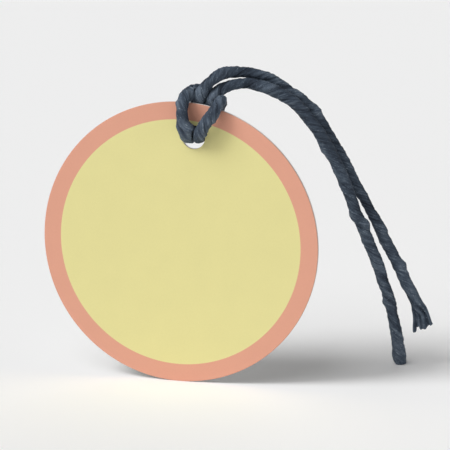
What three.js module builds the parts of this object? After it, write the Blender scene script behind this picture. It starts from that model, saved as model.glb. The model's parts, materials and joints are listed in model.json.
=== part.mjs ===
// A round hang tag. A printed card disc, with one punched hole, carries a length of twisted
// paper cord that is tied through the hole with a lark's head.
// Millimetres, +Z up. The card stands on its rim and its printed front faces -Y. The origin
// is where the rim meets the floor, in the middle of the card's thickness.

import * as THREE from "three";

// The card
const CARD_DIAMETER = 60;
const BORDER_WIDTH = 3.7; // printed margin round the front
const CORE_THICKNESS = 0.5; // grey board
const SHEET_THICKNESS = 0.15; // paper pasted on each side of the board
const HOLE_DIAMETER = 5;
const HOLE_TO_RIM = 7.1; // from the hole's centre
const HOLE_LEAN = 7.9; // degrees: the card has rolled this far, so the hole leans towards +X

// The cord
const CORD_DIAMETER = 2.2;
const CORD_SIDES = 8;
const PINCH = 0.8; // share of its width that each strand keeps where the hole's edge squeezes it
const PINCH_HALF_LENGTH = 1.4; // full squeeze this far in front of the card and behind it
const PINCH_FADE = 0.9; // and back to full width over this length
const LEAST_GAP = 0.4; // that the cord keeps to itself
const STRETCH_GAP = 0.3; // between the faces of two stretches

// Where the stretches of the cord meet, measured along it from the cut tip of its long end
const LONG_END = 79;
const KNOT_END = 146;
const SHORT_END = 220.9;

// How many steps each stretch is drawn with
const LONG_STEPS = 14;
const KNOT_STEPS = 52;
const SHORT_STEPS = 14;

// The frayed tip, where the twist has opened into a flat fan of paper
const FRAY_ROOT_THICKNESS = 1.7;
const FRAY_EDGE_THICKNESS = 0.9;
const FRAY_LENGTH = 7.8;

// The cord's route, point by point. The long end rises from its tip on the floor.
const LONG_END_ROUTE = [
  [41.8, 26.6, 0.3], [41.2, 25.5, 7.2], [40.1, 24.2, 13.9], [38.2, 22.7, 20.9], [36.1, 21.0, 27.5],
  [33.8, 19.1, 34.0], [31.5, 17.2, 41.1], [28.7, 15.2, 48.3], [25.9, 13.0, 53.7], [21.9, 10.7, 59.1],
  [17.8, 8.4, 61.9], [13.7, 6.7, 63.3], [11.1, 5.2, 63.4],
];
// Down behind the card to the hole's right side, and out at the front
const KNOT_RIGHT_ROUTE = [
  [9.3, 4.1, 63.05], [7.8, 3.4, 62.3], [6.85, 2.8, 61.1], [6.2, 2.4, 59.6], [5.85, 2.2, 57.8],
  [5.5, 2.1, 55.8], [5.0, 1.8, 54.0], [4.45, 0.9, 52.9], [4.35, -0.8, 52.75], [4.9, -2.1, 53.5],
];
// Up the front, over the rim, behind both ends and down the front again
const BIGHT_ROUTE = [
  [5.7, -2.8, 55.1], [6.7, -2.9, 56.5], [7.7, -2.8, 57.9], [8.5, -2.1, 59.2], [8.85, -0.7, 60.15],
  [8.95, 0.6, 60.25], [8.95, 1.9, 59.6], [8.55, 3.4, 58.8], [7.55, 4.65, 58.45], [6.35, 5.1, 58.9],
  [5.1, 5.2, 60.2], [4.1, 5.1, 61.3], [3.1, 4.85, 61.9], [2.1, 4.0, 62.0], [1.35, 2.6, 61.75],
  [1.25, 0.8, 61.55], [1.4, -0.9, 61.3], [1.5, -2.1, 60.3], [1.45, -2.8, 58.7], [1.55, -2.85, 56.8],
  [1.75, -2.6, 55.1],
];
// In at the hole's left side, and up behind the card
const KNOT_LEFT_ROUTE = [
  [2.0, -2.0, 53.85], [2.05, -0.8, 53.0], [2.05, 0.8, 53.0], [2.15, 1.8, 54.0], [2.5, 2.1, 55.8],
  [2.9, 2.1, 57.8], [3.35, 2.05, 59.7], [3.9, 2.0, 61.1], [4.7, 2.0, 62.5],
];
// The short end arches over the long one and hangs beside it, a little behind
const SHORT_END_ROUTE = [
  [5.8, 2.3, 64.0], [7.05, 3.15, 65.0], [8.35, 4.75, 65.6], [10.4, 6.5, 65.7], [12.9, 8.3, 65.3],
  [16.3, 10.4, 63.8], [19.8, 12.5, 61.3], [23.5, 14.7, 58.1], [26.1, 16.5, 54.3], [28.3, 18.1, 50.0],
  [30.5, 19.6, 45.6], [32.5, 20.9, 41.0], [34.5, 22.2, 36.9], [36.5, 23.4, 32.7], [39.1, 24.2, 27.2],
  [41.7, 25.0, 21.8], [44.0, 25.7, 16.5], [45.7, 26.5, 12.4], [46.5, 26.9, 7.6],
];
// The fan's outline: across the cord, and along it from the fan's root
const FRAY_OUTLINE = [
  [1.1, 0], [1.6, 1.4], [2.1, 3.2], [2.3, 4.6], [2.3, 6.9], [1.2, 7.2], [0.6, 7.6], [-0.4, 7.3],
  [-0.7, 6.4], [-1.25, 6.7], [-1.8, FRAY_LENGTH], [-1.9, 6.2], [-1.2, 4.5], [-1.05, 2.5], [-1.1, 0],
];

// Worked out from the sizes above
const CARD_RADIUS = CARD_DIAMETER / 2;
const CENTRE_RADIUS = CARD_RADIUS - BORDER_WIDTH;
const CORE_FRONT = -CORE_THICKNESS / 2;
const CORE_BACK = CORE_THICKNESS / 2;
const HOLE_RADIUS = HOLE_DIAMETER / 2;
const LEAN = THREE.MathUtils.degToRad(HOLE_LEAN);
const HOLE_OFFSET = CARD_RADIUS - HOLE_TO_RIM; // from the card's centre
const HOLE_CENTRE = new THREE.Vector2(HOLE_OFFSET * Math.sin(LEAN), HOLE_OFFSET * Math.cos(LEAN));
const CORD_RADIUS = CORD_DIAMETER / 2;

const CIRCLE_SEGMENTS = 96;
const HOLE_SEGMENTS = 32;

function finish(color, roughness) {
  return new THREE.MeshStandardMaterial({ color, roughness, metalness: 0 });
}
const coralInk = finish(0xdd9f87, 0.8);
const yellowInk = finish(0xe1d997, 0.8);
const plainPaper = finish(0xf1eee8, 0.85);
const greyBoard = finish(0xcfc8bd, 0.9);
const twistedPaper = finish(0x3d4854, 0.85);

const tag = new THREE.Group();

function addPiece(name, geometry, material) {
  const mesh = new THREE.Mesh(geometry, material);
  mesh.name = name;
  tag.add(mesh);
  return mesh;
}

// The card's layers, each an outline in the card's plane between two depths

function circlePoints(centre, radius, segments) {
  return Array.from({ length: segments }, (_, i) => {
    const angle = (i / segments) * 2 * Math.PI;
    return new THREE.Vector2(
      centre.x + radius * Math.cos(angle),
      centre.y + radius * Math.sin(angle),
    );
  });
}

function layer(outline, hole, front, back) {
  const shape = new THREE.Shape(outline);
  shape.holes.push(new THREE.Path(hole));
  const geometry = new THREE.ExtrudeGeometry(shape, { depth: back - front, bevelEnabled: false });
  geometry.rotateX(Math.PI / 2);
  geometry.translate(0, back, CARD_RADIUS);
  return geometry;
}

const middle = new THREE.Vector2(0, 0);
const rim = circlePoints(middle, CARD_RADIUS, CIRCLE_SEGMENTS);
const printEdge = circlePoints(middle, CENTRE_RADIUS, CIRCLE_SEGMENTS);
const punchedHole = circlePoints(HOLE_CENTRE, HOLE_RADIUS, HOLE_SEGMENTS);
const FRONT_FACE = CORE_FRONT - SHEET_THICKNESS;
const BACK_FACE = CORE_BACK + SHEET_THICKNESS;

addPiece("board_core", layer(rim, punchedHole, CORE_FRONT, CORE_BACK), greyBoard);
addPiece("front_border", layer(rim, printEdge, FRONT_FACE, CORE_FRONT), coralInk);
addPiece("front_centre", layer(printEdge, punchedHole, FRONT_FACE, CORE_FRONT), yellowInk);
addPiece("back_sheet", layer(rim, punchedHole, CORE_BACK, BACK_FACE), plainPaper);

// The cord, one smooth curve from tip to tip, cut into stretches

const route = [
  ...LONG_END_ROUTE, ...KNOT_RIGHT_ROUTE, ...BIGHT_ROUTE, ...KNOT_LEFT_ROUTE, ...SHORT_END_ROUTE,
].map((point) => new THREE.Vector3(...point));
const cord = new THREE.CatmullRomCurve3(route, false, "centripetal");
cord.arcLengthDivisions = 2000;
const cordLength = cord.getLength();

class Stretch extends THREE.Curve {
  constructor(from, to) {
    super();
    this.from = from;
    this.to = to;
  }
  getPoint(t, target = new THREE.Vector3()) {
    return cord.getPointAt((this.from + (this.to - this.from) * t) / cordLength, target);
  }
}

function tube(from, to, steps) {
  const section = new THREE.Shape(circlePoints(middle, CORD_RADIUS, CORD_SIDES));
  const options = { steps, extrudePath: new Stretch(from, to), bevelEnabled: false };
  return new THREE.ExtrudeGeometry(section, options);
}

// Two strands share the hole, so each is squeezed across where it passes through

const strandCrossings = [KNOT_RIGHT_ROUTE, KNOT_LEFT_ROUTE].map((part) => {
  const [a, b] = part.filter((point) => Math.abs(point[1]) < PINCH_HALF_LENGTH).slice(0, 2);
  return (a[0] + b[0]) / 2;
});

function pinchInHole(geometry) {
  const position = geometry.getAttribute("position");
  const holeZ = CARD_RADIUS + HOLE_CENTRE.y;
  for (let i = 0; i < position.count; i++) {
    const beside = Math.abs(position.getY(i)) - PINCH_HALF_LENGTH;
    const inReach = Math.abs(position.getZ(i) - holeZ) < HOLE_RADIUS;
    if (!inReach || beside > PINCH_FADE) continue;
    const keep = THREE.MathUtils.lerp(PINCH, 1, Math.max(beside, 0) / PINCH_FADE);
    const x = position.getX(i);
    const [near] = [...strandCrossings].sort((a, b) => Math.abs(a - x) - Math.abs(b - x));
    position.setX(i, near + (x - near) * keep);
  }
  geometry.computeVertexNormals();
  return geometry;
}

const knotStart = LONG_END + STRETCH_GAP;
const shortStart = KNOT_END + STRETCH_GAP;
addPiece("cord_long_end", tube(0, LONG_END, LONG_STEPS), twistedPaper);
addPiece("cord_knot", pinchInHole(tube(knotStart, KNOT_END, KNOT_STEPS)), twistedPaper);
addPiece("cord_short_end", tube(shortStart, SHORT_END, SHORT_STEPS), twistedPaper);

// The frayed tip carries on from the short end and thins towards its torn edge

function frayedTip() {
  const outline = FRAY_OUTLINE.map(([across, along]) => new THREE.Vector2(across, along));
  const thickness = FRAY_ROOT_THICKNESS;
  const options = { depth: thickness, bevelEnabled: false };
  const geometry = new THREE.ExtrudeGeometry(new THREE.Shape(outline), options);
  geometry.translate(0, 0, -thickness / 2);
  const position = geometry.getAttribute("position");
  for (let i = 0; i < position.count; i++) {
    const share = position.getY(i) / FRAY_LENGTH;
    const here = THREE.MathUtils.lerp(FRAY_ROOT_THICKNESS, FRAY_EDGE_THICKNESS, share);
    position.setZ(i, (position.getZ(i) * here) / thickness);
  }
  geometry.computeVertexNormals();
  return geometry;
}

const fray = addPiece("frayed_tip", frayedTip(), twistedPaper);
const frayRoot = cord.getPointAt((SHORT_END + STRETCH_GAP) / cordLength);
const frayAlong = cord.getPointAt(1).sub(frayRoot).normalize();
const frayAcross = new THREE.Vector3(1, 0, 0).addScaledVector(frayAlong, -frayAlong.x).normalize();
const frayThrough = new THREE.Vector3().crossVectors(frayAcross, frayAlong);
fray.quaternion.setFromRotationMatrix(
  new THREE.Matrix4().makeBasis(frayAcross, frayAlong, frayThrough),
);
fray.position.copy(frayRoot);

// The least gap between the surfaces of two strands of the cord that aren't neighbours along it

function halfWidth(point) {
  const inHole = Math.abs(point.z - CARD_RADIUS - HOLE_CENTRE.y) < HOLE_RADIUS;
  const beside = Math.max(Math.abs(point.y) - PINCH_HALF_LENGTH, 0) / PINCH_FADE;
  return inHole && beside < 1 ? CORD_RADIUS * THREE.MathUtils.lerp(PINCH, 1, beside) : CORD_RADIUS;
}

function leastGap() {
  const spacing = 0.3;
  const neighbours = Math.ceil((3 * CORD_DIAMETER) / spacing);
  const points = cord.getSpacedPoints(Math.round(cordLength / spacing));
  let least = Infinity;
  for (let i = 0; i < points.length; i++)
    for (let j = i + neighbours; j < points.length; j++) {
      const apart = points[i].distanceTo(points[j]) - halfWidth(points[i]) - halfWidth(points[j]);
      least = Math.min(least, apart);
    }
  return least;
}
const gap = leastGap();
console.log(`cord ${cordLength.toFixed(1)} mm, least gap to itself ${gap.toFixed(2)} mm`);
console.log(`gap ${gap > LEAST_GAP ? "is over" : "is NOT over"} ${LEAST_GAP} mm`);
console.log("long end meets the knot at", cord.getPointAt((LONG_END + STRETCH_GAP / 2) / cordLength));
console.log("short end meets the knot at", cord.getPointAt((KNOT_END + STRETCH_GAP / 2) / cordLength));

export default tag;
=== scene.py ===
import json
import math

import bpy
import numpy as np
from mathutils import Matrix, Vector, noise


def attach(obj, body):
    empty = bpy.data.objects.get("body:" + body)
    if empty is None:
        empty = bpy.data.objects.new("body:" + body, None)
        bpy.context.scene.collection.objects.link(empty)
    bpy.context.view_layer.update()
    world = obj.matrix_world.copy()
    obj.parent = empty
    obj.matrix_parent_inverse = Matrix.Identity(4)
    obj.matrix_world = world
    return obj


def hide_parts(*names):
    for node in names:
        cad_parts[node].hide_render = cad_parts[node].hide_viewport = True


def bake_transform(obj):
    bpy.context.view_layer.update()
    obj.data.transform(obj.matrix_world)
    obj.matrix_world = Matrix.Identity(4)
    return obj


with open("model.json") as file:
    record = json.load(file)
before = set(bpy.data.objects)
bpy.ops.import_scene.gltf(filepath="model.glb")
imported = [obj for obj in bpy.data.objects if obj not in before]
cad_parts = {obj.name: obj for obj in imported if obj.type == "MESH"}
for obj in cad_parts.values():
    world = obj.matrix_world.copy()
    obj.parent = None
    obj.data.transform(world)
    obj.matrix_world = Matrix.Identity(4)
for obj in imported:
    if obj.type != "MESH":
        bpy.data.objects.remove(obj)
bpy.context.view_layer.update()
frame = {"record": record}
MM = 0.001

# Camera. The tag is seen from a little to its right and a little above, through a long
# lens from well back, so that the round card stays nearly round.

CAMERA_TURN = math.radians(15.93)
CAMERA_RISE = math.radians(11.89)
CAMERA_DISTANCE = 600 * MM
CAMERA_AIM = Vector((9.98, -0.4, 34.4)) * MM

to_camera = Vector(
    (
        math.sin(CAMERA_TURN) * math.cos(CAMERA_RISE),
        -math.cos(CAMERA_TURN) * math.cos(CAMERA_RISE),
        math.sin(CAMERA_RISE),
    )
)
bpy.ops.object.select_all(action="DESELECT")
bpy.ops.object.camera_add(location=CAMERA_AIM + to_camera * CAMERA_DISTANCE)
camera = bpy.context.object
camera.rotation_mode = "QUATERNION"
camera.rotation_quaternion = (-to_camera).to_track_quat("-Z", "Y")
camera.data.sensor_width = 36
camera.data.lens = 229.74
camera.data.clip_start = 0.01
camera.data.clip_end = 20
bpy.context.scene.camera = camera

# The cord. A strip of slate blue kraft paper is twisted into a soft cord about 2.4 mm
# across, with folds that wind round it. One length of it is doubled and tied through the
# card's hole with a lark's head, and its two ends arch over to the right and back.

CORD_RADIUS = 1.2 * MM
RING_SPACING = 0.16 * MM
RING_POINTS = 80
TWIST_PITCH = 8.8 * MM
FOLDS = 4
# How far along the cord each stretch ends, from the tip of the long end
LONG_END = 79.15 * MM
KNOT_END = 146.15 * MM
SHORT_END = 221.05 * MM

long_end_route = [
    (0.0418, 0.0266, 0.0003), (0.0412, 0.0255, 0.0072), (0.0401, 0.0242, 0.0139),
    (0.0382, 0.0227, 0.0209), (0.0361, 0.0210, 0.0275), (0.0338, 0.0191, 0.0340),
    (0.0315, 0.0172, 0.0411), (0.0287, 0.0152, 0.0483), (0.0259, 0.0130, 0.0537),
    (0.0219, 0.0107, 0.0591), (0.0178, 0.0084, 0.0619), (0.0137, 0.0067, 0.0633),
    (0.0111, 0.0052, 0.0634),
]
knot_right_route = [
    (0.0093, 0.0041, 0.06305), (0.0078, 0.0034, 0.0623), (0.00685, 0.0028, 0.0611),
    (0.0062, 0.0024, 0.0596), (0.00585, 0.0022, 0.0578), (0.0055, 0.0021, 0.0558),
    (0.0050, 0.0018, 0.0540), (0.00445, 0.0009, 0.0529), (0.00435, -0.0008, 0.05275),
    (0.0049, -0.0021, 0.0535),
]
bight_route = [
    (0.0057, -0.0028, 0.0551), (0.0067, -0.0029, 0.0565), (0.0077, -0.0028, 0.0579),
    (0.0085, -0.0021, 0.0592), (0.00885, -0.0007, 0.06015), (0.00895, 0.0006, 0.06025),
    (0.00895, 0.0019, 0.0596), (0.00855, 0.0034, 0.0588), (0.00755, 0.00465, 0.05845),
    (0.00635, 0.0051, 0.0589), (0.0051, 0.0052, 0.0602), (0.0041, 0.0051, 0.0613),
    (0.0031, 0.00485, 0.0619), (0.0021, 0.0040, 0.0620), (0.00135, 0.0026, 0.06175),
    (0.00125, 0.0008, 0.06155), (0.0014, -0.0009, 0.0613), (0.0015, -0.0021, 0.0603),
    (0.00145, -0.0028, 0.0587), (0.00155, -0.00285, 0.0568), (0.00175, -0.0026, 0.0551),
]
knot_left_route = [
    (0.0020, -0.0020, 0.05385), (0.00205, -0.0008, 0.0530), (0.00205, 0.0008, 0.0530),
    (0.00215, 0.0018, 0.0540), (0.0025, 0.0021, 0.0558), (0.0029, 0.0021, 0.0578),
    (0.00335, 0.00205, 0.0597), (0.0039, 0.0020, 0.0611), (0.0047, 0.0020, 0.0625),
]
short_end_route = [
    (0.0058, 0.0023, 0.0640), (0.00705, 0.00315, 0.0650), (0.00835, 0.00475, 0.0656),
    (0.0104, 0.0065, 0.0657), (0.0129, 0.0083, 0.0653), (0.0163, 0.0104, 0.0638),
    (0.0198, 0.0125, 0.0613), (0.0235, 0.0147, 0.0581), (0.0261, 0.0165, 0.0543),
    (0.0283, 0.0181, 0.0500), (0.0305, 0.0196, 0.0456), (0.0325, 0.0209, 0.0410),
    (0.0345, 0.0222, 0.0369), (0.0365, 0.0234, 0.0327), (0.0391, 0.0242, 0.0272),
    (0.0417, 0.0250, 0.0218), (0.0440, 0.0257, 0.0165), (0.0457, 0.0265, 0.0124),
    (0.0465, 0.0269, 0.0076),
]


def smooth_curve(points, steps=40):
    """A centripetal Catmull-Rom curve through the points, as many short straight steps."""
    places = np.array(points)
    places = np.vstack([2 * places[0] - places[1], places, 2 * places[-1] - places[-2]])
    gaps = np.sqrt(np.linalg.norm(np.diff(places, axis=0), axis=1))
    share = (np.arange(steps) / steps)[:, None]
    line = []
    for i in range(1, len(places) - 2):
        last, now, coming, far = places[i - 1 : i + 3]
        before, here, after = gaps[i - 1 : i + 2]
        step = coming - now
        chord = step / here
        leave = ((now - last) / before - (coming - last) / (before + here) + chord) * here
        arrive = (chord - (far - now) / (here + after) + (far - coming) / after) * here
        cubic = leave + arrive - 2 * step
        line.append(now + share * (leave + share * (3 * step - 2 * leave - arrive + share * cubic)))
    line.append(places[-2][None])
    return np.vstack(line)


def unit(vectors):
    """The vector or vectors at length 1."""
    return vectors / np.linalg.norm(vectors, axis=-1, keepdims=True)


curve = smooth_curve(
    long_end_route + knot_right_route + bight_route + knot_left_route + short_end_route
)
travelled = np.append(0, np.cumsum(np.linalg.norm(np.diff(curve, axis=0), axis=1)))
along = np.arange(0, travelled[-1], RING_SPACING)
centre = np.stack([np.interp(along, travelled, curve[:, i]) for i in range(3)], axis=1)
heading = unit(np.gradient(centre, axis=0))
side = np.zeros_like(centre)
side[0] = unit(np.cross(heading[0], (0, 0, 1.0)))
for i in range(1, len(centre)):
    side[i] = unit(side[i - 1] - heading[i] * (side[i - 1] @ heading[i]))
over = np.cross(heading, side)

# Blender's noise mostly keeps within 0.6 of zero, and the gain brings that to about 1. Lines
# of it at this gap are unlike, and this depth keeps them off the whole numbers, where the
# noise is always zero
NOISE_GAIN = 1.6
CHANNEL_GAP = 7.3
CHANNEL_DEPTH = 0.5


def wander(distance, period, channel):
    """A smooth random value, mostly from -1 to 1, at each distance, the same on each run."""
    return np.array(
        [
            NOISE_GAIN * noise.noise((d / period, CHANNEL_GAP * channel, CHANNEL_DEPTH))
            for d in distance
        ]
    )


def along_cord(table):
    """The value at each ring, from a table of distances along the cord in mm and values."""
    distances, values = zip(*table)
    return np.interp(along / MM, distances, values)


# How the paper's folds lie: each fold's edge winds round the cord. The panel of paper
# between two edges starts tucked under one, swells, and ends in the lip of the next.

# By what share of itself the pitch wanders, and by what share of a panel the edges do
PITCH_CHANGE = 0.2
EDGE_CHANGE = 0.27
# How deep a panel starts and how much that wanders, in mm, with the lowest value that the
# wandering may take, then over what share of the panel it comes up and how sharply
TUCK_DEPTH = 0.1
TUCK_CHANGE = 0.2
LEAST_TUCK = -0.4
TUCKED_SHARE = 0.7
TUCK_CURVE = 1.4
# How far a panel swells and how much that wanders, in mm
SWELL_HEIGHT = 0.03
SWELL_CHANGE = 0.1
# How thick the cord is beside its own radius, and how much that wanders
FULLNESS = 1.01
FULLNESS_CHANGE = 0.02

pitch = TWIST_PITCH * (1 + PITCH_CHANGE * wander(along, period=14 * MM, channel=1))
twist = np.cumsum(2 * math.pi * RING_SPACING / pitch)
fold_at = np.stack(
    [
        2 * math.pi * (k + EDGE_CHANGE * wander(along, period=6 * MM, channel=10 + k)) / FOLDS
        for k in range(FOLDS)
    ],
    axis=1,
)
# The knot is the tightest twisted stretch, and the two ends have eased a little
tightness = along_cord([(60, 0.6), (80, 1), (152, 1), (170, 0.6)])
tuck_wander = [
    np.clip(wander(along, period=4.5 * MM, channel=20 + k), LEAST_TUCK, 1) for k in range(FOLDS)
]
tuck = np.stack(
    [(TUCK_DEPTH + TUCK_CHANGE * change) * MM * tightness for change in tuck_wander], axis=1
)
swell = np.stack(
    [
        (SWELL_HEIGHT + SWELL_CHANGE * wander(along, period=4 * MM, channel=30 + k)) * MM
        for k in range(FOLDS)
    ],
    axis=1,
)
thickness = CORD_RADIUS * (
    FULLNESS + FULLNESS_CHANGE * wander(along, period=3.5 * MM, channel=2)
)
# How much paler or darker the cord is coloured at places along it, on the scale of the ridges'
# height in mm: palest at its two ends and darker at about 42 to 58 mm and 170 to 182 mm. The
# paler stretch from 190 to 200 mm is painted light, which lifts the shadow that the long end
# casts on the short one there.
dye_and_painted_light = along_cord(
    [
        (0, 0.1), (12, 0.02), (30, 0), (42, -0.06), (58, -0.06), (70, 0), (80, -0.02),
        (145, -0.02), (158, 0), (170, -0.05), (182, -0.05), (190, 0.05), (200, 0.05),
        (212, 0.02), (229, 0.12),
    ]
)

# The paper's relief: sharp creases, soft dents and fine grain. Each has its height in mm,
# how closely it lies round the cord, and its length along it.
SHARP_CREASES = (0.2, 2.7, 2.4 * MM)
SOFT_DENTS = (0.06, 1.7, 1.1 * MM)
FINE_GRAIN = (0.03, 4.1, 0.5 * MM)
# About the mean of the three together, taken off so that they don't thicken the cord
MEAN_RELIEF = 0.045


def smooth_step(x):
    """Turns smoothly from 0 to 1 as x does, and stays level outside that."""
    x = np.clip(x, 0, 1)
    return x * x * (3 - 2 * x)


def relief(kind, lay, distance):
    """The height of one kind of relief in mm, at each lay round one ring of the cord."""
    height, closeness, length = kind
    return height * np.array(
        [
            noise.noise((closeness * math.cos(a), closeness * math.sin(a), distance / length))
            for a in lay
        ]
    )


def paper_surface(i, angle):
    """How far the paper lies from the centre of ring i at these angles, and its lay there."""
    lay = (angle + twist[i]) % (2 * math.pi)
    radius = np.zeros_like(angle)
    for k in range(FOLDS):
        start = fold_at[i, k]
        end = fold_at[i, (k + 1) % FOLDS] + (2 * math.pi if k == FOLDS - 1 else 0)
        across = ((lay - start) % (2 * math.pi)) / (end - start)
        inside = across < 1
        panel = (
            thickness[i]
            + swell[i, k] * np.sin(math.pi * np.clip(across, 0, 1))
            - tuck[i, k] * (1 - np.clip(across / TUCKED_SHARE, 0, 1)) ** TUCK_CURVE
        )
        radius = np.where(inside, panel, radius)
    crease = (
        abs(relief(SHARP_CREASES, lay, along[i]))
        + relief(SOFT_DENTS, lay, along[i])
        + relief(FINE_GRAIN, lay, along[i])
    )
    return radius + (crease - MEAN_RELIEF) * MM, lay


# Knuckles and thin places, where the loose paper has bunched up or been drawn tight: how
# far along the cord and over what length in mm, towards which side (x to the right, y away
# from the printed front, z up; all zero is all round), and by how many mm.

KNUCKLES = [
    # The long end, from its tip
    (5.5, 3, 0, 0, 0, 0.1), (10.5, 2.6, 1, 0, 0.3, -0.26), (9, 2.6, -1, 0, -0.3, 0.15),
    (14.5, 0.9, -1, 0, -0.2, 0.45), (18.5, 3, 1, 0, 0.3, -0.2), (20, 1, -1, 0, -0.3, 0.15),
    (23, 1.4, 0, 0, 0, 0.09), (29, 1.5, -1, 0, -0.4, 0.17), (33, 1.1, 1, 0, 0.3, 0.58),
    (36, 1.1, -1, 0, -0.5, 0.5), (36.7, 1.4, 1, 0, 0.5, -0.22), (46, 2.4, 0, 0, 0, 0.08),
    (52.5, 2.4, -0.8, 0, -0.6, 0.5), (62, 4, -0.6, 0, -0.8, 0.1), (71, 2.4, 0, 0, 0, 0.12),
    (77, 3.6, 0, 0, 0, -0.14),
    # The knot's right half
    (82.1, 1.4, 0.5, 0, -1, 0.2), (84.1, 2, -1, 0, -0.3, 0.55), (84.1, 1.6, 0, -1, -0.3, 0.4),
    (97.4, 1.4, 1, 0, -0.3, 0.32), (100.9, 1.3, 0.8, 0, -0.6, 0.4),
    (105.4, 1.3, 0.4, 0, 1, 0.35), (108.6, 2.0, 1, 0.2, -0.5, -1.0),
    # The knot's left half
    (120.6, 1.8, -1, 0, 0.6, -0.22), (120.8, 2.2, 1, 0, -0.35, 1.35),
    (125.6, 0.8, -1, 0, 0, 0.38), (130.6, 1.8, -1, 0, -0.2, 0.3), (130.9, 1.3, 1, 0, 0, 0.95),
    (132.7, 1.2, 1, 0.4, 0, 0.5), (133.2, 1.2, -1, 0, -0.6, 0.3), (134, 1.5, 1, 0.3, 0, 0.8),
    (134.2, 1.1, 0, 0, -1, 0.25), (143.6, 1.8, 1, 0, -0.2, 0.55),
    (143.9, 1.8, 0, -1, -0.3, 0.5), (143.6, 1.6, -1, 0, -0.3, 0.4),
    # The short end, from the knot
    (147.6, 1, -0.7, 0, 0.7, -0.25), (151.6, 1, -0.2, 0, 1, 0.14), (155.3, 3, 0, 0, 0, -0.13),
    (162.6, 3.4, 0.3, 0, 1, 0.27), (168.6, 1.1, 0.5, 0, 0.8, 0.15),
    (174.3, 1.2, 0.7, 0, 0.7, 0.5), (199.1, 3.2, 0, 0, 0, -0.18), (204.6, 1, 1, 0, 0.4, 0.3),
    (208.1, 1.3, -1, 0, -0.4, 0.16), (213.6, 1.2, 1, 0, 0.4, 0.48),
    (220.1, 1.8, 1, 0, 0.3, 0.3), (220.4, 1.6, -1, 0, -0.3, -0.27),
]
# How closely a knuckle keeps to its side, and the share of its height that is too low to add
KNUCKLE_FOCUS = 1.5
TOO_LOW = 0.01


def knuckled(i, direction, radius):
    """The radius at ring i in each direction, with the knuckles near it added."""
    for place, length, x, y, z, height in KNUCKLES:
        nearness = math.exp(-(((along[i] / MM - place) / length) ** 2))
        if nearness < TOO_LOW:
            continue
        facing = 1
        if x or y or z:
            facing = np.maximum(direction @ unit(np.array((x, y, z))), 0) ** KNUCKLE_FOCUS
        radius = radius + height * MM * nearness * facing
    return radius


# Where the cord touches itself, both strands flatten against the plane between them, with
# CONTACT_GAP left on each side of it. Rings that lie within OWN_STRAND of each other along
# the cord don't press each other, and neither does paper that faces past the other strand.

CONTACT_REACH = 3.1 * MM
OWN_STRAND = 3.4 * MM
CONTACT_GAP = 0.01 * MM
LEAST_FACING = 0.05
spread = np.linalg.norm(centre[:, None] - centre[None], axis=2)
apart = np.abs(along[:, None] - along[None]) > OWN_STRAND
touching = (spread < CONTACT_REACH) & apart


def pressed(i, direction, radius):
    """The radius at ring i in each direction, kept clear of every second ring of the cord's
    other strands, which is close enough for the rings between them too."""
    for j in np.flatnonzero(touching[i])[::2]:
        facing = direction @ unit(centre[j] - centre[i])
        room = (spread[i, j] / 2 - CONTACT_GAP) / np.maximum(facing, LEAST_FACING)
        radius = np.where(facing > LEAST_FACING, np.minimum(radius, room), radius)
    return radius


def cord_rings(first, last, shape=None):
    """The rings' points from ring first to ring last, with each point's lay and its height, which
    the paper's colour paints as shade and highlight. shape, where given, forms each ring after
    its folds and knuckles."""
    angle = np.arange(RING_POINTS) / RING_POINTS * 2 * math.pi
    points, lays, heights = [], [], []
    for i in range(first, last + 1):
        direction = np.cos(angle)[:, None] * side[i] + np.sin(angle)[:, None] * over[i]
        radius, lay = paper_surface(i, angle)
        radius = knuckled(i, direction, radius)
        if shape is not None:
            radius = shape(i, direction, radius)
        # The height, with the tone painted along the cord, is painted as shade in the folds and as
        # highlight on the ridges. It is taken before the strands press each other, so where they
        # touch isn't painted darker.
        heights.append((radius - CORD_RADIUS) / MM + dye_and_painted_light[i])
        radius = pressed(i, direction, radius)
        points.append(centre[i] + direction * radius[:, None])
        lays.append(
            np.stack([np.cos(lay), np.sin(lay), np.full(RING_POINTS, along[i] / MM)], axis=1)
        )
    return np.array(points), np.array(lays), np.array(heights)


# Folds in the paper that are sharper than this are shaded as creases
CORD_CREASE = math.radians(42)


def cord_mesh(name, points, lays, heights):
    """A closed tube through the rings. Strips from side to side close its two ends."""
    rings, across = points.shape[:2]
    faces = []
    for i in range(rings - 1):
        for j in range(across):
            k = (j + 1) % across
            faces.append(
                (i * across + j, (i + 1) * across + j, (i + 1) * across + k, i * across + k)
            )
    for end in (0, (rings - 1) * across):
        faces.append((end, end + 1, end + across - 1))
        for j in range(1, across // 2 - 1):
            faces.append((end + j, end + j + 1, end + across - j - 1, end + across - j))
        faces.append((end + across // 2 - 1, end + across // 2, end + across // 2 + 1))
    mesh = bpy.data.meshes.new(name)
    mesh.from_pydata(points.reshape(-1, 3).tolist(), [], faces)
    mesh.update()
    mesh.attributes.new("lay", "FLOAT_VECTOR", "POINT").data.foreach_set(
        "vector", lays.astype(np.float32).ravel()
    )
    # The heights paint the paper's shade in its folds and its highlight on its ridges
    mesh.attributes.new("height", "FLOAT", "POINT").data.foreach_set(
        "value", heights.astype(np.float32).ravel()
    )
    piece = bpy.data.objects.new(name, mesh)
    bpy.context.collection.objects.link(piece)
    bpy.ops.object.select_all(action="DESELECT")
    bpy.context.view_layer.objects.active = piece
    piece.select_set(True)
    bpy.ops.object.mode_set(mode="EDIT")
    bpy.ops.mesh.select_all(action="SELECT")
    bpy.ops.mesh.normals_make_consistent(inside=False)
    bpy.ops.object.mode_set(mode="OBJECT")
    bpy.ops.object.shade_smooth_by_angle(angle=CORD_CREASE)
    return piece


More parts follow.
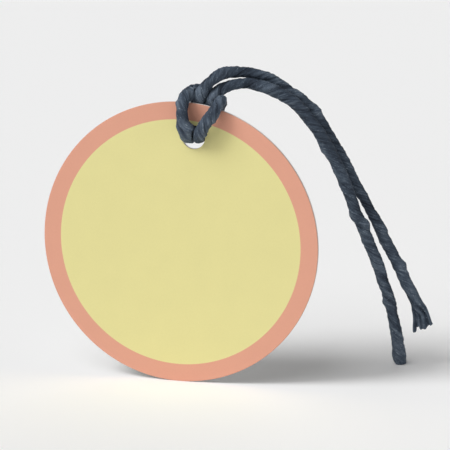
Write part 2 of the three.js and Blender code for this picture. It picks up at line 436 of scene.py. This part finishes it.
def colour(code):
    """Linear colour from an sRGB hex code."""
    srgb = [int(code[i : i + 2], 16) / 255 for i in (1, 3, 5)]
    linear = [s / 12.92 if s < 0.04045 else ((s + 0.055) / 1.055) ** 2.4 for s in srgb]
    return (*linear, 1)


def new_finish(name):
    """An empty node material and its node tree."""
    finish = bpy.data.materials.new(name)
    finish.use_nodes = True
    finish.node_tree.nodes.clear()
    return finish, finish.node_tree


def add(tree, kind, settings=(), **inputs):
    """Adds a node. Inputs are named as Blender names them, with _ for a space, or by _ and
    their number, and each is a value or another node's output."""
    made = tree.nodes.new("ShaderNode" + kind)
    for key, value in dict(settings).items():
        setattr(made, key, value)
    for key, value in inputs.items():
        number = key[1:]
        socket = made.inputs[int(number) if number.isdigit() else key.replace("_", " ")]
        if isinstance(value, bpy.types.NodeSocket):
            tree.links.new(value, socket)
        else:
            socket.default_value = value
    return made


# Twisted kraft paper, dyed through: dull, with fine lines of fibre along its folds. Its
# colour is painted darker down in the folds, which is painted shade, and paler on the ridges,
# which is a painted highlight along with the wear of hands rubbing them.

# The darkest colour comes mostly down in the folds as painted shade, the pale one mostly on the
# ridges as a painted highlight, and the palest on specks as painted glints
PAPER_DARK_AND_FOLD_SHADE = "#242c38"
PAPER_MID = "#404b59"
PAPER_PALE_AND_RIDGE_HIGHLIGHT = "#626e7c"
FIBRE_GLINT = "#7f8a95"

MULTIPLY = {"operation": "MULTIPLY"}
ADD = {"operation": "ADD"}

twisted_paper, tree = new_finish("twisted_kraft_paper")
lay = add(tree, "Attribute", {"attribute_name": "lay"})
# Each point's height off the cord, which is painted as shade in the folds and highlight on the
# ridges
height_for_painted_shade = add(tree, "Attribute", {"attribute_name": "height"})
# Creases about 0.4 mm apart and some 2.5 mm long with finer fibre lines between: the lay's
# first two numbers go once round the cord, so 1 is its radius, and the third is in mm
fibre_space = add(tree, "VectorMath", MULTIPLY, _0=lay.outputs["Vector"], _1=(3, 3, 0.4))
fibre = add(
    tree,
    "TexNoise",
    Vector=fibre_space.outputs[0],
    Scale=1.0,
    Detail=4.0,
    Roughness=0.62,
    Distortion=0.4,
)
# Blotches of dye about 1 mm wide round the cord and 1.4 mm long
blotch_space = add(tree, "VectorMath", MULTIPLY, _0=lay.outputs["Vector"], _1=(1.2, 1.2, 0.7))
blotch = add(tree, "TexNoise", Vector=blotch_space.outputs[0], Scale=1.0, Detail=2.0)
# Specks of loose fibre about 0.25 mm across, painted paler as glints where they catch the light
speck_space = add(tree, "VectorMath", MULTIPLY, _0=lay.outputs["Vector"], _1=(5, 5, 4))
speck = add(tree, "TexNoise", Vector=speck_space.outputs[0], Scale=1.0, Detail=1.0)
# How much each of them lifts the shade, from 0 for the darkest paper to 1 for a painted glint
painted_glint_part = add(
    tree,
    "MapRange",
    Value=speck.outputs["Fac"],
    From_Min=0.62,
    From_Max=0.74,
    To_Min=0.0,
    To_Max=0.55,
)
# The height paints the shade: darkest deep in the folds and palest high on the ridges
fold_shade_and_ridge_highlight = add(
    tree,
    "MapRange",
    Value=height_for_painted_shade.outputs["Fac"],
    From_Min=-0.25,
    From_Max=0.15,
    To_Min=0.0,
    To_Max=0.72,
)
fibre_part = add(
    tree,
    "MapRange",
    Value=fibre.outputs["Fac"],
    From_Min=0.3,
    From_Max=0.7,
    To_Min=-0.27,
    To_Max=0.27,
)
blotch_part = add(
    tree,
    "MapRange",
    Value=blotch.outputs["Fac"],
    From_Min=0.3,
    From_Max=0.7,
    To_Min=-0.14,
    To_Max=0.14,
)
shade = add(tree, "Math", ADD, _0=fold_shade_and_ridge_highlight.outputs[0], _1=fibre_part.outputs[0])
shade = add(tree, "Math", ADD, _0=shade.outputs[0], _1=blotch_part.outputs[0])
shade = add(
    tree,
    "Math",
    {"operation": "ADD", "use_clamp": True},
    _0=shade.outputs[0],
    _1=painted_glint_part.outputs[0],
)
ramp = add(tree, "ValToRGB", Fac=shade.outputs[0])
ramp.color_ramp.elements[0].color = colour(PAPER_DARK_AND_FOLD_SHADE)
ramp.color_ramp.elements[1].color = colour(FIBRE_GLINT)
ramp.color_ramp.elements.new(0.5).color = colour(PAPER_MID)
ramp.color_ramp.elements.new(0.94).color = colour(PAPER_PALE_AND_RIDGE_HIGHLIGHT)
bump = add(tree, "Bump", Strength=0.6, Distance=0.08 * MM, Height=fibre.outputs["Fac"])
paper = add(
    tree,
    "BsdfPrincipled",
    Base_Color=ramp.outputs["Color"],
    Roughness=0.75,
    IOR=1.5,
    Specular_IOR_Level=0.25,
    Normal=bump.outputs["Normal"],
)
add(tree, "OutputMaterial", Surface=paper.outputs["BSDF"])

# The knot. The doubled cord goes over the rim from behind, down the front to both sides
# and in at the hole, and its two ends come up behind the card through their own loop.

CARD_RADIUS = 30 * MM
CARD_HALF = 0.4 * MM
HOLE_RADIUS = 2.5 * MM
HOLE_TO_RIM = 7.1 * MM
HOLE_TURN = math.radians(7.9)
CARD_MIDDLE = (0, 0, CARD_RADIUS)
# The card stands on its rim and has rolled a little, so its hole leans to the right
hole_direction = Vector((math.sin(HOLE_TURN), 0, math.cos(HOLE_TURN)))
hole = hole_direction * (CARD_RADIUS - HOLE_TO_RIM) + Vector(CARD_MIDDLE)

# The soft paper is drawn in by up to this many small steps, to this distance from the card
CLEARANCE = 0.06 * MM
DRAW_IN = 0.97
DRAW_STEPS = 20
tilt = next(j for j in frame["record"]["behaviour"]["joints"] if j["name"] == "knot_tilt")
pivot = np.array(tilt["pos_m"])
tilted = np.array(Matrix.Rotation(math.radians(tilt["range_deg"][1]), 3, tilt["axis"]))


def in_card(places):
    """Which of the places lie in the card's board or sheets."""
    x, y, z = places.T
    on_disc = np.hypot(x, z - CARD_RADIUS) < CARD_RADIUS + CLEARANCE
    off_hole = np.hypot(x - hole.x, z - hole.z) > HOLE_RADIUS - CLEARANCE
    return on_disc & off_hole & (abs(y) < CARD_HALF + CLEARANCE)


def yielding(i, direction, radius):
    """The radius at ring i in each direction, drawn in where the soft paper would cut into
    the card, at rest or with the knot tilted as far as it goes."""
    for _ in range(DRAW_STEPS):
        places = centre[i] + direction * radius[:, None]
        caught = in_card(places) | in_card((places - pivot) @ tilted.T + pivot)
        radius = np.where(caught, radius * DRAW_IN, radius)
    return radius


# The ring at the cord's start and at the end of each of its stretches, and the number of
# rings in the first 7 mm of an end beside the knot.
ring_at = [int(round(s / RING_SPACING)) for s in (0, LONG_END, KNOT_END, SHORT_END)]
BEND_LENGTH = 7 * MM
BEND_RINGS = round(BEND_LENGTH / RING_SPACING)

knot = cord_mesh("cord_knot_twisted", *cord_rings(ring_at[1], ring_at[2], yielding))
knot.data.materials.append(twisted_paper)
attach(knot, "knot")
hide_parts("cord_knot")

# The long end. It arches back to the floor and stands on its cut tip, which is pinched a
# little wider than the cord and has gone blunt, most of all on its left.

# The cord's last FOOT_LENGTH comes down to the floor by up to FOOT_DROP, and stays just off
# it. The tip is widest at FLARE_PLACE from its end
FOOT_DROP = 0.28 * MM
FOOT_LENGTH = 2 * MM
FLOOR_GAP = 0.02 * MM
FLARE = 0.26 * MM
FLARE_PLACE = 1.6 * MM
FLARE_LENGTH = 2 * MM
# Over how many mm the tip rounds off, and what share of its radius is left at its end, with
# how much longer and how much less these are on its left
ROUND_OFF = 0.3
LEFT_ROUND_OFF = 1.3
END_SHARE = 0.92
LEFT_CUT = 0.55


def blunt_tip(i, direction, radius):
    """The radius at ring i in each direction, flared and then closed to a blunt foot."""
    flare = FLARE * np.exp(-(((along[i] - FLARE_PLACE) / FLARE_LENGTH) ** 2))
    left = ((1 - direction[:, 0]) / 2) ** 2
    share = np.minimum(along[i] / ((ROUND_OFF + LEFT_ROUND_OFF * left) * MM), 1)
    least = END_SHARE - LEFT_CUT * left
    closing = least + (1 - least) * np.sqrt(1 - (1 - share) ** 2)
    return (radius + flare) * closing


points, lays, heights = cord_rings(ring_at[0], ring_at[1], blunt_tip)
drop = FOOT_DROP * np.clip(1 - along[: len(points)] / FOOT_LENGTH, 0, 1)
points[:, :, 2] = np.maximum(points[:, :, 2] - drop[:, None], FLOOR_GAP)
long_end = cord_mesh("cord_long_end_twisted", points, lays, heights)
long_end.data.materials.append(twisted_paper)
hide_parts("cord_long_end")
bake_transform(long_end)

# The short end. It leaves the knot to the left of the long one and arches over it, then
# hangs close beside it and a little behind, clear of the floor.

# The end of its first 7 mm is taken this much higher than where it leaves the knot
BEND_RISE = 0.3 * MM

short_end = cord_mesh("cord_short_end_twisted", *cord_rings(ring_at[2], ring_at[3]))
short_end.data.materials.append(twisted_paper)
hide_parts("cord_short_end")
bend_end = Vector(centre[ring_at[2] + BEND_RINGS])
bend_end.z = centre[ring_at[2]][2] + BEND_RISE
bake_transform(short_end)

# The frayed tip of the short end. Its twist has come undone, so the paper opens into a
# flat fan of long pleats, and its end is torn.

FRAY_LENGTH = len(centre) * RING_SPACING - SHORT_END
FRAY_ROWS = 56
# How far the torn edge reaches to left and right, in mm
FAN_LEFT = 2.06
FAN_RIGHT = 2.66
# Half of the fan's thickness where it is flat, and how much more it is at its root
FLAT_HALF = 0.17 * MM
ROOT_EXTRA = 1.05 * MM
# By what share of its length the fan is open, pleated and flat
OPEN_BY = 0.35
PLEATED_BY = 0.45
FLAT_BY = 0.6
# From what share of its length, and over what share, a pleat drifts from start to end
DRIFT_FROM = 0.12
DRIFT_OVER = 0.45
# A fine ripple over the whole fan: its height in mm, its waves over half the fan's width,
# and by how much of a wave it has drifted at the fan's end
RIPPLE_HEIGHT = 0.06
RIPPLES = 3.1
RIPPLE_LEAN = 0.4
# How much of a pleat's height is painted as shade and highlight: paler where it stands out
# towards the front and darker where it sinks back
PLEAT_SHADE = 0.3
# The torn edge: how far across the fan, and how far from its root the paper ends, in mm
torn_edge = np.array(
    [
        (-2.06, 7.7), (-1.94, 8.0), (-1.4, 8.05), (-1.25, 7.6), (-1.2, 6.95), (-0.97, 6.75),
        (-0.84, 7.0), (-0.5, 6.6), (-0.38, 7.0), (-0.18, 7.55), (0.42, 7.25), (0.95, 7.45),
        (1.39, 6.9), (1.9, 6.55), (2.22, 6.7), (2.66, 6.4),
    ]
)
# Its two sides: how far from the root, and how wide the fan is there to left and right
fan_sides = np.array(
    [
        (0, 0.95, 1.5), (1.2, 1.18, 1.62), (1.8, 1.28, 1.7), (2.7, 1.43, 1.95), (3.8, 1.47, 2.1),
        (4.8, 1.55, 2.25), (5.8, 1.7, 2.43), (6.5, 1.84, 2.66), (8, 2.06, 2.75),
    ]
)
# Its pleats: where across the fan each starts and ends, from -1 at the left to 1 at the
# right, how wide it is on that scale, and how far it stands out towards the front in mm
PLEATS = [
    (-0.6, 0.3, 0.2, 0.4), (0.1, 0.57, 0.13, -0.55), (-0.75, -0.62, 0.18, -0.35),
    (-0.95, -0.95, 0.14, 0.15), (0.5, 0.8, 0.12, 0.3), (-1.0, -0.22, 0.12, 0.25),
    (-0.9, 0.02, 0.08, -0.2), (0.75, 0.93, 0.06, -0.2), (0.4, 0.42, 0.05, 0.15),
]
root = ring_at[3]
fan_along = heading[root:]
fan_across = unit(np.array((1.0, 0, 0)) - fan_along * fan_along[:, :1])
fan_through = np.cross(fan_along, fan_across)
fan_angle = np.arange(RING_POINTS) / RING_POINTS * 2 * math.pi
sideways = np.cos(fan_angle)
edge_at = np.where(sideways > 0, FAN_RIGHT, FAN_LEFT) * sideways
reach = np.interp(edge_at, torn_edge[:, 0], torn_edge[:, 1]) * MM


def pleated(share):
    """How far the fan's paper stands out towards the front round one row, in mm."""
    pleat = RIPPLE_HEIGHT * np.cos(2 * math.pi * (sideways * RIPPLES + RIPPLE_LEAN * share))
    for start, end, width, stands_out in PLEATS:
        ridge_at = start + (end - start) * smooth_step((share - DRIFT_FROM) / DRIFT_OVER)
        pleat = pleat + stands_out * np.exp(-(((sideways - ridge_at) / width) ** 2))
    return pleat * smooth_step(share / PLEATED_BY)


points, lays, heights = [], [], []
for row in range(FRAY_ROWS + 1):
    gone = row / FRAY_ROWS * reach
    share = gone / FRAY_LENGTH
    place = root + gone / RING_SPACING
    low = np.minimum(place.astype(int), len(centre) - 2)
    part = (place - low)[:, None]
    middle = centre[low] * (1 - part) + centre[low + 1] * part
    to_right = fan_across[low - root]
    to_front = fan_through[low - root]
    direction = sideways[:, None] * to_right + np.sin(fan_angle)[:, None] * to_front
    ring_angle = np.arctan2((direction * over[low]).sum(1), (direction * side[low]).sum(1))
    radius, lay_angle = paper_surface(root, ring_angle)
    radius = knuckled(root, direction, radius)
    round_form = direction * radius[:, None]
    left = np.interp(gone / MM, fan_sides[:, 0], fan_sides[:, 1])
    right = np.interp(gone / MM, fan_sides[:, 0], fan_sides[:, 2])
    half_width = np.where(sideways > 0, right, left) * MM
    half_thick = ROOT_EXTRA * (1 - smooth_step(share / FLAT_BY)) + FLAT_HALF
    pleat = pleated(share)
    flat_form = (
        (sideways * half_width)[:, None] * to_right
        + (np.sin(fan_angle) * half_thick + pleat * MM)[:, None] * to_front
    )
    mix = smooth_step(share / OPEN_BY)[:, None]
    points.append(middle + round_form * (1 - mix) + flat_form * mix)
    fan_lay = np.stack(
        [np.cos(lay_angle), np.sin(lay_angle), (SHORT_END + share * FRAY_LENGTH) / MM], axis=1
    )
    lays.append(fan_lay)
    # The round part's height and the pleats are painted as shade and highlight, as on the cord
    round_height = (radius - CORD_RADIUS) / MM
    heights.append(round_height * (1 - mix[:, 0]) + PLEAT_SHADE * pleat * mix[:, 0] + dye_and_painted_light[root])
frayed_tip = cord_mesh("frayed_tip_pleated", np.array(points), np.array(lays), np.array(heights))
frayed_tip.data.materials.append(twisted_paper)
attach(frayed_tip, "short_end")
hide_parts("frayed_tip")

# The card's core. Solid grey paperboard, half a millimetre thick, die cut into a disc
# with its hole punched in the same stroke.

CORE_HALF = 0.25 * MM
CORE_EDGE = 0.02 * MM
DISC_SIDES = 256
HOLE_SIDES = 96
PUNCH_REACH = 1 * MM
# Lengths that differ by less than this are taken as the same
ROUNDING = 0.001 * MM
# Edges of the card that are sharper than this stay crisp
CARD_CREASE = math.radians(15)


def drum(radius, front, back, sides, middle=CARD_MIDDLE):
    """A plain disc in the card's plane, between two depths."""
    bpy.ops.object.select_all(action="DESELECT")
    bpy.ops.mesh.primitive_cylinder_add(
        vertices=sides,
        radius=radius,
        depth=back - front,
        location=(middle[0], (front + back) / 2, middle[2]),
        rotation=(math.pi / 2, 0, 0),
    )
    bpy.ops.object.transform_apply(location=True, rotation=True, scale=True)
    return bpy.context.object


def cut(piece, tool):
    """Takes the tool's shape out of the piece and deletes the tool."""
    taking = piece.modifiers.new("cut", "BOOLEAN")
    taking.operation = "DIFFERENCE"
    taking.solver = "EXACT"
    taking.object = tool
    bpy.context.view_layer.objects.active = piece
    bpy.ops.object.modifier_apply(modifier=taking.name)
    bpy.data.objects.remove(tool)


def punch(sheet):
    """Punches the card's hole through the sheet."""
    cut(sheet, drum(HOLE_RADIUS, -PUNCH_REACH, PUNCH_REACH, HOLE_SIDES, hole))


def edge_radius(edge, mesh, middle):
    """How far an edge's ends lie from an axis through the card, or -1 if the edge doesn't
    run round that axis."""
    first, second = (mesh.vertices[corner].co for corner in edge.vertices)
    first_far = math.hypot(first.x - middle[0], first.z - middle[2])
    second_far = math.hypot(second.x - middle[0], second.z - middle[2])
    if abs(first.y - second.y) > ROUNDING or abs(first_far - second_far) > ROUNDING:
        return -1
    return (first_far + second_far) / 2


def soften(piece, rings, width):
    """Bevels the edges that run round the given rings, each a middle and a radius."""
    bpy.ops.object.select_all(action="DESELECT")
    bpy.context.view_layer.objects.active = piece
    piece.select_set(True)
    bpy.ops.object.mode_set(mode="EDIT")
    bpy.ops.mesh.select_mode(type="EDGE")
    bpy.ops.mesh.select_all(action="DESELECT")
    bpy.ops.object.mode_set(mode="OBJECT")
    for edge in piece.data.edges:
        edge.select = any(
            abs(edge_radius(edge, piece.data, middle) - radius) < ROUNDING
            for middle, radius in rings
        )
    bpy.ops.object.mode_set(mode="EDIT")
    bpy.ops.mesh.bevel(offset=width, segments=2, affect="EDGES")
    bpy.ops.object.mode_set(mode="OBJECT")
    bpy.ops.object.shade_smooth_by_angle(angle=CARD_CREASE)


core = drum(CARD_RADIUS, -CORE_HALF, CORE_HALF, DISC_SIDES)
punch(core)
soften(core, [(CARD_MIDDLE, CARD_RADIUS), (hole, HOLE_RADIUS)], CORE_EDGE)
core.name = "board_core_die_cut"

# Grey paperboard: pressed pulp in thin layers, so its cut edge shows faint lines along
# the card's thickness and is dull all over.

BOARD_DARK = "#d6c8c0"
BOARD_PALE = "#eee2da"

board, tree = new_finish("grey_paperboard")
where = add(tree, "TexCoord")
# Layers about 0.1 mm thick, each broken up over about 1 mm: the scales are per metre
layer_space = add(
    tree, "VectorMath", MULTIPLY, _0=where.outputs["Object"], _1=(900, 9000, 900)
)
layers = add(tree, "TexNoise", Vector=layer_space.outputs[0], Scale=1.0, Detail=3.0)
board_colour = add(
    tree,
    "Mix",
    {"data_type": "RGBA"},
    _0=layers.outputs["Fac"],
    _6=colour(BOARD_DARK),
    _7=colour(BOARD_PALE),
)
bump = add(tree, "Bump", Strength=0.5, Distance=0.03 * MM, Height=layers.outputs["Fac"])
surface = add(
    tree,
    "BsdfPrincipled",
    Base_Color=board_colour.outputs[2],
    Roughness=0.9,
    IOR=1.5,
    Normal=bump.outputs["Normal"],
)
add(tree, "OutputMaterial", Surface=surface.outputs["BSDF"])
core.data.materials.append(board)
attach(core, "card")
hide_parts("board_core")

# The printed front. One sheet of uncoated paper is pasted over the board, with a coral
# margin printed round a pale yellow field, edge to edge.

SHEET_THICKNESS = 0.15 * MM
PRINT_RADIUS = 26.3 * MM
BORDER_EDGE = 0.09 * MM
FIELD_EDGE = 0.035 * MM
CORAL = "#dd9f87"
PALE_YELLOW = "#e1d997"

border = drum(CARD_RADIUS, -CORE_HALF - SHEET_THICKNESS, -CORE_HALF, DISC_SIDES)
cut(border, drum(PRINT_RADIUS, -PUNCH_REACH, PUNCH_REACH, DISC_SIDES))
soften(border, [(CARD_MIDDLE, CARD_RADIUS)], BORDER_EDGE)
border.name = "front_border_printed"

field = drum(PRINT_RADIUS, -CORE_HALF - SHEET_THICKNESS, -CORE_HALF, DISC_SIDES)
punch(field)
soften(field, [(hole, HOLE_RADIUS)], FIELD_EDGE)
field.name = "front_centre_printed"


def uncoated_paper(name, tint):
    """Uncoated paper, plain or under flat ink: dull, with faint flecks of fibre about 0.4 mm
    long that change its tone by up to 7%, and clouds about 6 mm across, by up to 5%. The
    two scales are per metre."""
    finish, tree = new_finish(name)
    where = add(tree, "TexCoord")
    fleck = add(
        tree,
        "TexNoise",
        Vector=where.outputs["Object"],
        Scale=2400.0,
        Detail=4.0,
        Roughness=0.65,
    )
    cloud = add(tree, "TexNoise", Vector=where.outputs["Object"], Scale=160.0, Detail=2.0)
    multiply_add = {"operation": "MULTIPLY_ADD"}
    tone = add(tree, "Math", multiply_add, _0=fleck.outputs["Fac"], _1=0.07, _2=0.93)
    tone = add(tree, "Math", multiply_add, _0=cloud.outputs["Fac"], _1=0.05, _2=tone.outputs[0])
    tinted = add(
        tree, "VectorMath", {"operation": "SCALE"}, _0=colour(tint)[:3], Scale=tone.outputs[0]
    )
    bump = add(tree, "Bump", Strength=0.25, Distance=0.02 * MM, Height=fleck.outputs["Fac"])
    surface = add(
        tree,
        "BsdfPrincipled",
        Base_Color=tinted.outputs[0],
        Roughness=0.8,
        IOR=1.5,
        Normal=bump.outputs["Normal"],
    )
    add(tree, "OutputMaterial", Surface=surface.outputs["BSDF"])
    return finish


border.data.materials.append(uncoated_paper("coral_ink_on_paper", CORAL))
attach(border, "card")
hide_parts("front_border")

field.data.materials.append(uncoated_paper("yellow_ink_on_paper", PALE_YELLOW))
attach(field, "card")
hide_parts("front_centre")

# The back sheet. One more sheet of the same uncoated paper, left plain, is pasted over the
# board's back, and the hole is punched through all the layers at once.

BACK_EDGE = 0.06 * MM
PLAIN_PAPER = "#efece6"

back = drum(CARD_RADIUS, CORE_HALF, CORE_HALF + SHEET_THICKNESS, DISC_SIDES)
punch(back)
soften(back, [(CARD_MIDDLE, CARD_RADIUS), (hole, HOLE_RADIUS)], BACK_EDGE)
back.name = "back_sheet_plain"
back.data.materials.append(uncoated_paper("plain_uncoated_paper", PLAIN_PAPER))
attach(back, "card")
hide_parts("back_sheet")

# The floor: a plain, level and nearly white surface that runs far past the view, dull all
# over, so that it takes the tag's soft shadow and mirrors nothing.

bpy.ops.object.select_all(action="DESELECT")
bpy.ops.mesh.primitive_plane_add(size=8, location=(0, 0, 0))
floor = bpy.context.object
floor.name = "floor"
pale, tree = new_finish("pale_floor")
surface = add(
    tree, "BsdfPrincipled", Base_Color=colour("#fafafa"), Roughness=1.0, Specular_IOR_Level=0.0
)
add(tree, "OutputMaterial", Surface=surface.outputs["BSDF"])
floor.data.materials.append(pale)

# The light: a broad soft lamp from the left, softer ones that fill the front and the left
# side, weak low ones for the back and the right edge, and a little light from all round.


def soft_sun(name, turn, rise, width, strength):
    """Even light from one side. Turn is from the card's front towards its left, rise is from
    the floor up, and width is how wide the lamp looks from the tag, all in degrees."""
    bpy.ops.object.light_add(type="SUN")
    lamp = bpy.context.object
    lamp.name = name
    turned = math.radians(turn)
    raised = math.radians(rise)
    source = Vector(
        (
            -math.sin(turned) * math.cos(raised),
            -math.cos(turned) * math.cos(raised),
            math.sin(raised),
        )
    )
    lamp.rotation_mode = "QUATERNION"
    lamp.rotation_quaternion = (-source).to_track_quat("-Z", "Y")
    lamp.data.angle = math.radians(width)
    lamp.data.energy = strength


soft_sun("key", 50, 42, 25, 1.7)
soft_sun("front", 20, 48, 45, 1.02)
soft_sun("side", 60, 55, 45, 0.3)
soft_sun("behind", 180, 18, 40, 0.42)
soft_sun("right", -80, 18, 45, 0.3)
world = bpy.data.worlds.new("studio")
bpy.context.scene.world = world
world.use_nodes = True
world.node_tree.nodes["Background"].inputs["Color"].default_value = (1, 1, 1, 1)
world.node_tree.nodes["Background"].inputs["Strength"].default_value = 0.14
bpy.context.scene.view_settings.view_transform = "Standard"
